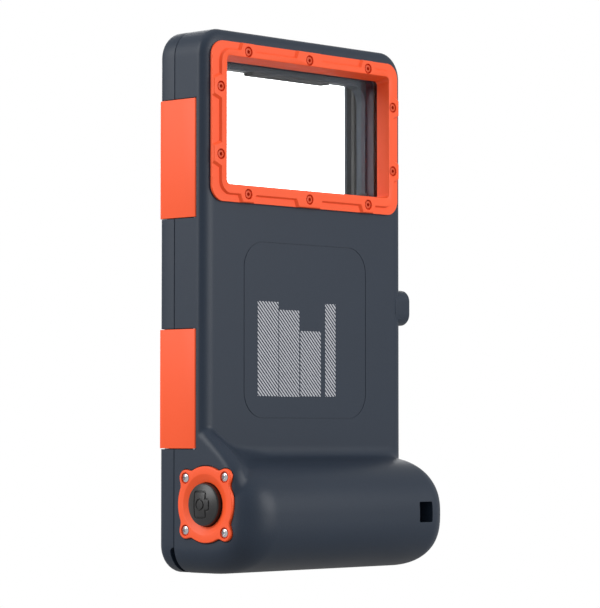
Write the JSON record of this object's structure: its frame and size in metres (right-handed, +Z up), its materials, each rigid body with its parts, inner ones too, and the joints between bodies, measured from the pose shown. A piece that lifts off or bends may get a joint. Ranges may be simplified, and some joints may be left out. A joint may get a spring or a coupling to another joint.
{
  "type": "underwater phone camera housing",
  "caption": "Waterproof two-part case for a phone, closed by hinged latches, with a screen window, a camera window, a hand grip with shutter button, a lanyard passage and a tripod boss.",
  "frame": {"origin": "the bottom centre of the bounding box, on the surface that the case stands on", "axes": "+Z up the length of the case, -Y out of the screen side, +Y out of the camera side, -X towards the tripod boss, +X towards the shutter button"},
  "size_m": [0.1098, 0.045, 0.1865],
  "materials": {
    "shell_plastic": "moulded navy polycarbonate with a fine matt grain",
    "orange_plastic": "moulded orange plastic, satin",
    "clear_window": "clear polycarbonate sheet, polished",
    "seal_rubber": "black silicone seal",
    "button_rubber": "black silicone cap, slightly shiny",
    "screw_steel": "stainless socket screw",
    "screw_orange": "socket screw with an orange coated head",
    "pin_steel": "stainless hinge pin",
    "black_plastic": "black nylon",
    "gloss_black": "gloss black plastic",
    "board_green": "green solder mask",
    "cell_steel": "nickel-plated cell can",
    "insert_brass": "pale turned brass",
    "pad_foam": "soft dark foam"
  },
  "bodies": {
    "shell": {"rear_shell": "shell_plastic", "cover_gasket": "seal_rubber", "camera_frame": "orange_plastic", "camera_window": "clear_window", "camera_window_seal": "seal_rubber", "camera_frame_screw_1": "screw_orange", "camera_frame_screw_2": "screw_orange", "camera_frame_screw_3": "screw_orange", "camera_frame_screw_4": "screw_orange", "camera_frame_screw_5": "screw_orange", "camera_frame_screw_6": "screw_orange", "camera_frame_screw_7": "screw_orange", "camera_frame_screw_8": "screw_orange", "camera_frame_screw_9": "screw_orange", "camera_frame_screw_10": "screw_orange", "latch_pin_left_upper": "pin_steel", "latch_pin_left_lower": "pin_steel", "latch_pin_right_upper": "pin_steel", "latch_pin_right_lower": "pin_steel", "latch_pin_top": "pin_steel", "latch_pin_bottom": "pin_steel", "shutter_bezel": "orange_plastic", "shutter_bezel_screw_1": "screw_steel", "shutter_bezel_screw_2": "screw_steel", "shutter_bezel_screw_3": "screw_steel", "shutter_bezel_screw_4": "screw_steel", "shutter_seal": "seal_rubber", "shutter_switch": "black_plastic", "circuit_board": "board_green", "circuit_board_screw_1": "screw_steel", "circuit_board_screw_2": "screw_steel", "electronics_plate": "black_plastic", "electronics_plate_screw_1": "screw_steel", "electronics_plate_screw_2": "screw_steel", "electronics_plate_screw_3": "screw_steel", "electronics_plate_screw_4": "screw_steel", "battery_holder": "black_plastic", "coin_cell": "cell_steel", "boss_end_plate": "gloss_black", "tripod_insert": "insert_brass", "back_pad": "pad_foam", "edge_pad_left_lower": "pad_foam", "edge_pad_right_lower": "pad_foam", "edge_pad_left_upper": "pad_foam", "edge_pad_right_upper": "pad_foam", "end_pad_bottom": "pad_foam", "end_pad_top": "pad_foam"},
    "cover": {"front_cover": "shell_plastic", "front_window": "clear_window", "front_window_seal": "seal_rubber"},
    "latch_left_upper_body": {"latch_left_upper": "orange_plastic"},
    "latch_left_lower_body": {"latch_left_lower": "orange_plastic"},
    "latch_right_upper_body": {"latch_right_upper": "orange_plastic"},
    "latch_right_lower_body": {"latch_right_lower": "orange_plastic"},
    "latch_top_body": {"latch_top": "orange_plastic"},
    "latch_bottom_body": {"latch_bottom": "orange_plastic"},
    "button": {"shutter_button": "button_rubber", "shutter_plunger": "black_plastic"}
  },
  "joints": [
    {"name": "cover_lift", "type": "slide", "parent": "shell", "child": "cover", "axis": [0, -1, 0], "range_m": [0, 0.016]},
    {"name": "latch_left_upper_hinge", "type": "hinge", "parent": "shell", "child": "latch_left_upper_body", "pos_m": [-0.04815, -0.00615, 0.1419], "axis": [0, 0, -1], "range_deg": [0, 90.01]},
    {"name": "latch_left_lower_hinge", "type": "hinge", "parent": "shell", "child": "latch_left_lower_body", "pos_m": [-0.04815, -0.00615, 0.0456], "axis": [0, 0, -1], "range_deg": [0, 90.01]},
    {"name": "latch_right_upper_hinge", "type": "hinge", "parent": "shell", "child": "latch_right_upper_body", "pos_m": [0.04985, -0.00615, 0.1417], "axis": [0, 0, 1], "range_deg": [0, 90.01]},
    {"name": "latch_right_lower_hinge", "type": "hinge", "parent": "shell", "child": "latch_right_lower_body", "pos_m": [0.04985, -0.00615, 0.0629], "axis": [0, 0, 1], "range_deg": [0, 90.01]},
    {"name": "latch_top_hinge", "type": "hinge", "parent": "shell", "child": "latch_top_body", "pos_m": [0.00085, -0.00615, 0.1842], "axis": [-1, 0, 0], "range_deg": [0, 90.01]},
    {"name": "latch_bottom_hinge", "type": "hinge", "parent": "shell", "child": "latch_bottom_body", "pos_m": [0.00085, -0.00615, 0.0022], "axis": [1, 0, 0], "range_deg": [0, 90.01]},
    {"name": "shutter_press", "type": "slide", "parent": "shell", "child": "button", "axis": [-1, 0, 0], "range_m": [0, 0.0015], "stiffness_N_per_m": 900}
  ],
  "couplings": [
    {"joint": "latch_left_upper_hinge", "follows": "cover_lift", "rad_per_m": 98.175},
    {"joint": "latch_left_lower_hinge", "follows": "cover_lift", "rad_per_m": 98.175},
    {"joint": "latch_right_upper_hinge", "follows": "cover_lift", "rad_per_m": 98.175},
    {"joint": "latch_right_lower_hinge", "follows": "cover_lift", "rad_per_m": 98.175},
    {"joint": "latch_top_hinge", "follows": "cover_lift", "rad_per_m": 98.175},
    {"joint": "latch_bottom_hinge", "follows": "cover_lift", "rad_per_m": 98.175}
  ]
}
